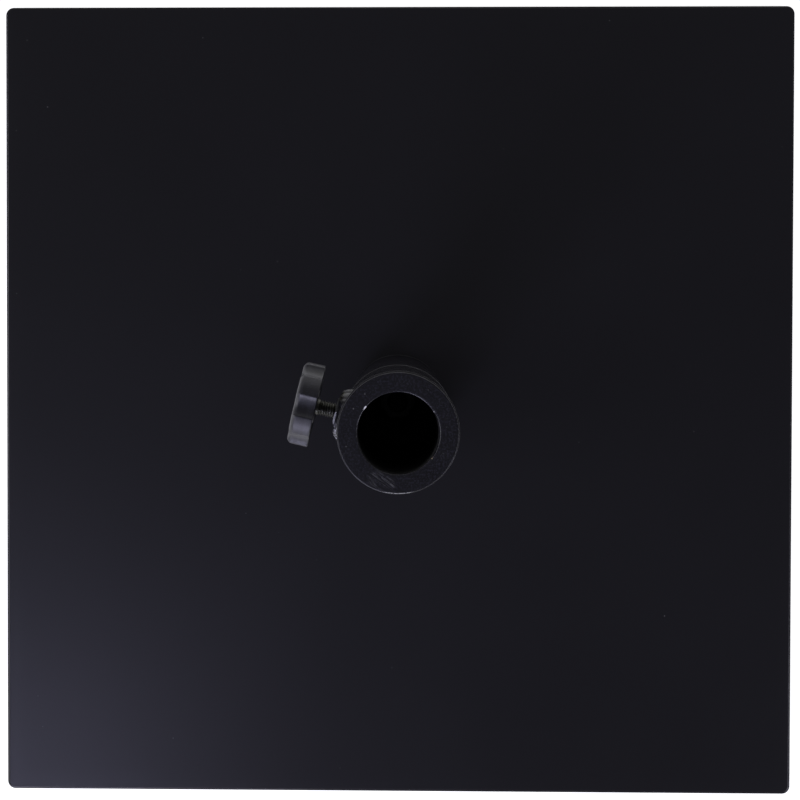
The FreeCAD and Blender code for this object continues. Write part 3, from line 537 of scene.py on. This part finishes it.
# ---------------------------------------------------------------- insert
def build_insert():
    fr, ft, rd, ch = FLANGE_R, POST_TOP - TUBE_TOP, 0.32 * MM, 0.5 * MM
    sleeve = BORE_R + 2.4 * MM
    top = POST_TOP
    n = 480
    prof = [(BORE_R + ch, INSERT_LOW), (sleeve - 0.3 * MM, INSERT_LOW), (sleeve, INSERT_LOW + 0.3 * MM),
            (sleeve, top - ft - 12 * MM), (sleeve, top - ft), (LIP_R - 0.1 * MM, top - ft),
            (LIP_R, top - ft + 0.1 * MM)]
    prof += arc(LIP_R - 0.15 * MM, top - ft + 0.60 * MM, 0.15 * MM, 0, 80, 4)
    prof += [(fr + 0.10 * MM, top - ft + 0.82 * MM), (fr, top - ft + 0.95 * MM), (fr, top - ft + 3.0 * MM)]
    prof += arc(fr - rd, top - rd, rd, 0, 90, 8)
    for k in range(1, 8):
        prof.append((fr - rd + (BORE_R + 1.5 * MM - fr + rd) * k / 7.0, top))
    prof += [(BORE_R + ch, top), (BORE_R + ch * 0.62, top - ch * 0.12), (BORE_R + ch * 0.28, top - ch * 0.4),
             (BORE_R + ch * 0.08, top - ch * 0.75), (BORE_R, top - ch * 1.2)]
    prof += [(BORE_R, top - 4 * MM), (BORE_R, top - 30 * MM), (BORE_R, INSERT_LOW + ch)]

    def step(a, centre, half, soft):
        d = abs((a - centre + math.pi) % (2 * math.pi) - math.pi)
        return min(1.0, max(0.0, (half + soft - d) / soft))

    mid, half = math.radians(-3.5), math.radians(34.5)

    def wobble(r, z, a):
        if z > top - 1.2 * MM and r < BORE_R + 1.6 * MM:
            # a longer relief on one side of the mouth, with a burr at each end of it
            relief = step(a, mid, half, math.radians(1.2))
            near_edge = max(0.0, 1.0 - (r - BORE_R) / (1.6 * MM))
            if r <= BORE_R + ch * 1.01:
                r = r + 0.34 * MM * relief
            for burr in (31.0, -38.0, 172.0):
                b = step(a, math.radians(burr), math.radians(0.5), math.radians(1.6))
                if b > 0:
                    z -= 0.05 * MM * b * near_edge
                    r -= 0.20 * MM * b * near_edge
            r += 0.03 * MM * noise.noise(Vector((math.cos(a) * 9, math.sin(a) * 9, 0.3)))
        return r, z

    v, f = lathe(prof, n, wobble)
    ob = new_object("sleeve_insert", v, f, insert_mat, "root", 34.0)
    ob.data.materials.append(insert_edge_mat)
    for face in ob.data.polygons:                    # the flange's rounded edge is rubbed duller
        c = face.center
        if math.hypot(c.x, c.y) > fr - rd * 0.92 and c.z > top - rd - 1e-6:
            face.material_index = 1
    # ribs and the cross hole
    tools = []
    for k in range(8):
        bm = bmesh.new()
        bmesh.ops.create_cube(bm, size=1.0)
        r0, r1 = sleeve - 0.8 * MM, TUBE_IN - 0.15 * MM
        z0, z1 = top - ft - 66.0 * MM, top - ft + 0.8 * MM
        for vert in bm.verts:
            x = r0 if vert.co.x < 0 else r1
            y = vert.co.y * 2.2 * MM
            z = z0 if vert.co.z < 0 else z1
            a = AZ + math.radians(22.5 + 45.0 * k)
            vert.co = Vector((x * math.cos(a) - y * math.sin(a), x * math.sin(a) + y * math.cos(a), z))
        me = bpy.data.meshes.new("rib_%d" % k)
        bm.to_mesh(me)
        bm.free()
        rib = bpy.data.objects.new("rib_%d" % k, me)
        scene.collection.objects.link(rib)
        tools.append((rib, "UNION"))
    bm = bmesh.new()
    bmesh.ops.create_cone(bm, cap_ends=True, segments=64, radius1=5 * MM, radius2=5 * MM, depth=14 * MM)
    for vert in bm.verts:
        vert.co = Vector(to_screw_axis(vert.co.z + 22.5 * MM, vert.co.x, vert.co.y))
    bmesh.ops.recalc_face_normals(bm, faces=bm.faces)
    me = bpy.data.meshes.new("cross_hole")
    bm.to_mesh(me)
    bm.free()
    hole = bpy.data.objects.new("cross_hole", me)
    scene.collection.objects.link(hole)
    tools.append((hole, "DIFFERENCE"))
    for tool, op in tools:
        mod = ob.modifiers.new(tool.name, "BOOLEAN")
        mod.operation = op
        mod.object = tool
        mod.solver = "EXACT"
    dg = bpy.context.evaluated_depsgraph_get()
    made = bpy.data.meshes.new_from_object(ob.evaluated_get(dg))
    ob.modifiers.clear()
    old = ob.data
    ob.data = made
    bpy.data.meshes.remove(old)
    for tool, op in tools:
        me = tool.data
        bpy.data.objects.remove(tool)
        bpy.data.meshes.remove(me)
    tidy(ob, 34.0)
    return ob


insert = build_insert()
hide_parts("pole_insert")


# ---------------------------------------------------------------- clamp screw
def build_screw():
    """Right-hand M8 thread, a chamfered tip with a socket for the pad, plain neck."""
    pitch, major, depth = 1.25 * MM, 4.0 * MM, 0.72 * MM
    tip, end_thread, end = 22.8 * MM, 41.2 * MM, 48.0 * MM
    n = 96
    per = 14
    xs = []
    x = tip
    while x < end_thread + pitch:
        xs.append(x)
        x += pitch / per
    rows = []

    def tooth(phase):
        """Depth share of the thread at a phase 0..1: flat crest, sloped flanks, rounded root."""
        p = phase % 1.0
        if p < 0.12:
            return 0.0
        if p < 0.44:
            return (p - 0.12) / 0.32
        if p < 0.68:
            return 1.0
        return max(0.0, 1.0 - (p - 0.68) / 0.32)

    def point(x, a, r):
        return to_screw_axis(x, r * math.cos(a), r * math.sin(a))

    # socket for the pad's stem, from the bottom of the hole outwards to the tip
    sock = [(26.9 * MM, 0.35 * MM), (26.7 * MM, 1.86 * MM), (25.3 * MM, 1.86 * MM), (25.0 * MM, 1.56 * MM), (tip, 1.56 * MM)]
    for sx, sr in sock:
        rows.append([point(sx, 2 * math.pi * k / n, sr) for k in range(n)])
    rows.append([point(tip, 2 * math.pi * k / n, 2.9 * MM) for k in range(n)])
    for x in xs:
        row = []
        for k in range(n):
            a = 2 * math.pi * k / n
            # advance of the thread: counter-clockwise about +x moves away from the tip
            phase = (x - tip) / pitch - a / (2 * math.pi)
            d = tooth(phase) * depth
            fade = min(1.0, max(0.0, (end_thread - x) / (0.8 * pitch)))
            r = major - d * fade
            lead = 3.15 * MM + (x - tip) * 0.95
            row.append(point(x, a, min(r, lead)))
        rows.append(row)
    rows.append([point(end_thread + pitch * 1.3, 2 * math.pi * k / n, major) for k in range(n)])
    rows.append([point(end, 2 * math.pi * k / n, major) for k in range(n)])
    rows.append([point(end, 2 * math.pi * k / n, 0.4 * MM) for k in range(n)])
    verts = [p for r in rows for p in r]
    faces = ring_faces(len(rows), n, False)
    c0 = len(verts)
    verts.append(point(27.0 * MM, 0, 0))
    verts.append(point(end, 0, 0))
    last = (len(rows) - 1) * n
    for k in range(n):
        faces.append((c0, (k + 1) % n, k))
        faces.append((c0 + 1, last + k, last + (k + 1) % n))
    return new_object("thumb_screw", verts, faces, screw_mat, "clamp_knob", 38.0)


screw = build_screw()
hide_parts("clamp_screw")


# ---------------------------------------------------------------- knob
def build_knob():
    inner, outer = 42.1 * MM, 52.9 * MM
    kr, kv, kh = 21.0 * MM, 18.4 * MM, math.radians(15.2)
    turn = math.radians(0.6)
    chord, sag = kr * math.sin(kh), kr * math.cos(kh) - kv
    rs = (chord * chord + sag * sag) / (2 * sag)
    cd = kv + rs
    n = 480

    def outline(phi):
        """Radius of the six-lobed outline at an angle from a scallop's middle, corners eased."""
        d = abs((phi + math.pi / 6) % (math.pi / 3) - math.pi / 6)
        out = 0.0
        tot = 0.0
        for s in (-3, -2, -1, 0, 1, 2, 3):
            w = math.exp(-(s / 1.7) ** 2)
            dd = abs(((phi + s * math.radians(0.5)) + math.pi / 6) % (math.pi / 3) - math.pi / 6)
            if dd < kh:
                r = cd * math.cos(dd) - math.sqrt(max(0.0, rs * rs - (cd * math.sin(dd)) ** 2))
            else:
                r = kr
            out += w * r
            tot += w
        return out / tot

    radii = [outline(2 * math.pi * k / n) for k in range(n)]

    def loop(x, shrink, to_circle=None, w=0.0):
        pts = []
        for k in range(n):
            phi = 2 * math.pi * k / n
            r = radii[k] - shrink
            if to_circle is not None:
                r = r * (1 - w) + to_circle * w
            # the middle of a scallop points up, turned a little towards the near side
            a = math.pi / 2 - turn + phi
            pts.append(to_screw_axis(x, r * math.cos(a), r * math.sin(a)))
        return pts

    rows = []
    hole = 4.0 * MM
    rows.append(loop(49.0 * MM, 0, hole, 1.0))
    rows.append(loop(inner + 0.5 * MM, 0, hole, 1.0))
    rows.append(loop(inner, 0, hole + 0.4 * MM, 1.0))
    rows.append(loop(inner, 0, 8.2 * MM, 1.0))
    rows.append(loop(inner + 0.15 * MM, 0, 8.5 * MM, 1.0))          # shallow ring round the hub
    rows.append(loop(inner + 1.0 * MM, 0, 8.9 * MM, 1.0))
    rows.append(loop(inner + 1.0 * MM, 0, 10.6 * MM, 1.0))
    rows.append(loop(inner + 1.0 * MM, 3.3 * MM))
    rows.append(loop(inner + 0.15 * MM, 2.7 * MM))
    rows.append(loop(inner, 2.5 * MM))
    rows.append(loop(inner, 0.9 * MM))
    for a in range(0, 91, 18):
        t = math.radians(a)
        rows.append(loop(inner + 0.45 * MM * (1 - math.cos(t)), 0.45 * MM * (1 - math.sin(t))))
    for f in (0.2, 0.4, 0.6, 0.8):
        rows.append(loop(inner + 8.0 * MM * f, 0.0))
    er = 2.8 * MM
    rows.append(loop(outer - er - 0.3 * MM, 0.0))
    for a in range(0, 91, 9):
        t = math.radians(a)
        rows.append(loop(outer - er * (1 - math.sin(t)), er * (1 - math.cos(t))))
    rows.append(loop(outer, 4.2 * MM))
    rows.append(loop(outer, 0, 12.2 * MM, 1.0))
    rows.append(loop(outer - 0.12 * MM, 0, 11.9 * MM, 1.0))
    rows.append(loop(outer - 0.75 * MM, 0, 11.3 * MM, 1.0))
    rows.append(loop(outer - 0.9 * MM, 0, 10.8 * MM, 1.0))
    rows.append(loop(outer - 0.9 * MM, 0, 7.4 * MM, 1.0))
    rows.append(loop(outer - 0.8 * MM, 0, 7.1 * MM, 1.0))
    rows.append(loop(outer - 0.45 * MM, 0, 6.8 * MM, 1.0))
    for r in (6.0, 4.5, 3.0, 1.5):
        rows.append(loop(outer - 0.45 * MM + 0.35 * MM * (1 - (r / 6.8) ** 2), 0, r * MM, 1.0))
    verts = [p for r in rows for p in r]
    faces = ring_faces(len(rows), n, False)
    c0 = len(verts)
    verts.append(to_screw_axis(outer - 0.1 * MM, 0, 0))
    verts.append(to_screw_axis(49.0 * MM, 0, 0))
    last = (len(rows) - 1) * n
    for k in range(n):
        faces.append((c0, last + (k + 1) % n, last + k))
        faces.append((c0 + 1, k, (k + 1) % n))
    return new_object("star_knob", verts, faces, knob_mat, "clamp_knob", 34.0)


knob = build_knob()
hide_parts("knob")


# ---------------------------------------------------------------- bead round the clamp nut
def build_bead():
    """A hand-run bead: overlapping ripples round the nut, full on the near side, seated on the tube."""
    n, m = 260, 26
    nut_in = 6.7 * MM
    shift = 0.7 * MM

    def section(k):
        a = 2 * math.pi * k / n
        ca, sa = math.cos(a), math.sin(a)
        ripple = abs(math.sin(a * 8.5 + 0.7 * math.sin(2 * a)))
        lump = noise.noise(Vector((ca * 2.3, sa * 2.3, 1.7)))
        wide, tall = (14.0 if ca > 0 else 13.2), 11.2
        foot = 1.0 / math.sqrt((ca / wide) ** 2 + (sa / tall) ** 2) + 0.55 * ripple + 0.9 * lump
        top = 31.45 + 0.20 * lump + 0.12 * ripple
        return a, ca, sa, foot * MM, top * MM

    def wall_at(y):
        return math.sqrt(max(0.0, UPPER_R ** 2 - y * y))

    verts = []
    for k in range(n):
        a, ca, sa, foot, top = section(k)
        for j in range(m):
            s = j / (m - 1)
            r = nut_in + (foot - nut_in) * s ** 0.8
            y, z = r * ca + shift * s, r * sa
            wall = wall_at(y)
            rise = (1.0 - s ** 2.6) ** 0.72
            # ripples of the run show as low ridges across the crown
            ridge = 0.20 * MM * math.sin(a * 17.0 + 5.0 * s) * math.sin(math.pi * s)
            grit = 0.12 * MM * noise.noise(Vector((y * 900, z * 900, 3.1))) * math.sin(math.pi * s)
            x = wall + max(0.0, top - wall) * rise + ridge + grit - (0.12 * MM if s > 0.97 else 0.0)
            verts.append(to_screw_axis(x, y, z))
    # back wall, just inside the tube's surface, closes the ring
    back = len(verts)
    for k in range(n):
        a, ca, sa, foot, top = section(k)
        for r, f in ((nut_in, 0.0), (foot, 1.0)):
            y, z = r * ca + shift * f, r * sa
            verts.append(to_screw_axis(wall_at(y) - 0.25 * MM, y, z))
    faces = []
    for k in range(n):
        k2 = (k + 1) % n
        for j in range(m - 1):
            faces.append((k * m + j, k2 * m + j, k2 * m + j + 1, k * m + j + 1))
        faces.append((k * m + m - 1, k2 * m + m - 1, back + k2 * 2 + 1, back + k * 2 + 1))
        faces.append((back + k * 2 + 1, back + k2 * 2 + 1, back + k2 * 2, back + k * 2))
        faces.append((back + k * 2, back + k2 * 2, k2 * m, k * m))
    return new_object("nut_bead", verts, faces, bead_mat, "root", 50.0)


bead = build_bead()
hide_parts("clamp_nut_weld")

# ---------------------------------------------------------------- studio
floor_me = bpy.data.meshes.new("floor")
s = 30.0
floor_me.from_pydata([(-s, -s, 0), (s, -s, 0), (s, s, 0), (-s, s, 0)], [], [(0, 1, 2, 3)])
floor = bpy.data.objects.new("floor", floor_me)
scene.collection.objects.link(floor)
t = Tree("floor")
floor_mat = t.finish((0.55, 0.55, 0.55, 1), 0.9, spec=0.1)
t.bsdf.inputs["Emission Color"].default_value = (1.0, 1.0, 1.0, 1.0)
t.bsdf.inputs["Emission Strength"].default_value = 0.885
floor_me.materials.append(floor_mat)


def soft_box(name, azimuth, zenith, distance, size, power, colour=(1, 1, 1), aim=(0, 0, 0.1)):
    data = bpy.data.lights.new(name, "AREA")
    data.shape = "RECTANGLE"
    data.size, data.size_y = size
    data.energy = power
    data.color = colour
    ob = bpy.data.objects.new(name, data)
    a, z = math.radians(azimuth), math.radians(zenith)
    at = Vector(aim)
    ob.location = at + distance * Vector((math.sin(z) * math.cos(a), math.sin(z) * math.sin(a), math.cos(z)))
    ob.rotation_euler = (ob.location - at).to_track_quat("Z", "Y").to_euler()
    scene.collection.objects.link(ob)
    return ob


soft_box("key", 228.5, 28.0, 2.48, (0.45, 0.35), 3.7, (0.68, 0.67, 1.0))
soft_box("left", 184.0, 62.0, 2.6, (1.3, 0.9), 24.0, (0.90, 0.90, 1.0))
soft_box("near", 244.0, 62.0, 2.6, (1.3, 0.9), 33.0, (0.75, 0.74, 1.0))
soft_box("right", 328.0, 62.0, 2.6, (1.2, 0.8), 24.0, (0.82, 0.81, 1.0))
soft_box("back", 80.0, 66.0, 2.6, (1.2, 0.6), 2.5, (0.95, 0.96, 1.0))

world = bpy.data.worlds.new("studio")
scene.world = world
world.use_nodes = True
nt = world.node_tree
nt.nodes.clear()
wout = nt.nodes.new("ShaderNodeOutputWorld")
bg = nt.nodes.new("ShaderNodeBackground")
tc = nt.nodes.new("ShaderNodeTexCoord")
sep = nt.nodes.new("ShaderNodeSeparateXYZ")
mr = nt.nodes.new("ShaderNodeMapRange")
mr.interpolation_type = "SMOOTHSTEP"
nt.links.new(tc.outputs["Generated"], sep.inputs[0])
nt.links.new(sep.outputs[2], mr.inputs["Value"])
mr.inputs["From Min"].default_value = 0.05
mr.inputs["From Max"].default_value = 0.75
mr.inputs["To Min"].default_value = 0.55
mr.inputs["To Max"].default_value = 0.085
fill = nt.nodes.new("ShaderNodeMapRange")                     # a little more light from the far side overhead
fill.interpolation_type = "SMOOTHSTEP"
nt.links.new(sep.outputs[1], fill.inputs["Value"])
fill.inputs["From Min"].default_value = -0.05
fill.inputs["From Max"].default_value = 0.28
fill.inputs["To Min"].default_value = 0.0
fill.inputs["To Max"].default_value = 0.065
both = nt.nodes.new("ShaderNodeMath")
both.operation = "ADD"
nt.links.new(mr.outputs["Result"], both.inputs[0])
nt.links.new(fill.outputs["Result"], both.inputs[1])
nt.links.new(both.outputs[0], bg.inputs["Strength"])
bg.inputs["Color"].default_value = (0.94, 0.93, 1.0, 1)
nt.links.new(bg.outputs[0], wout.inputs[0])
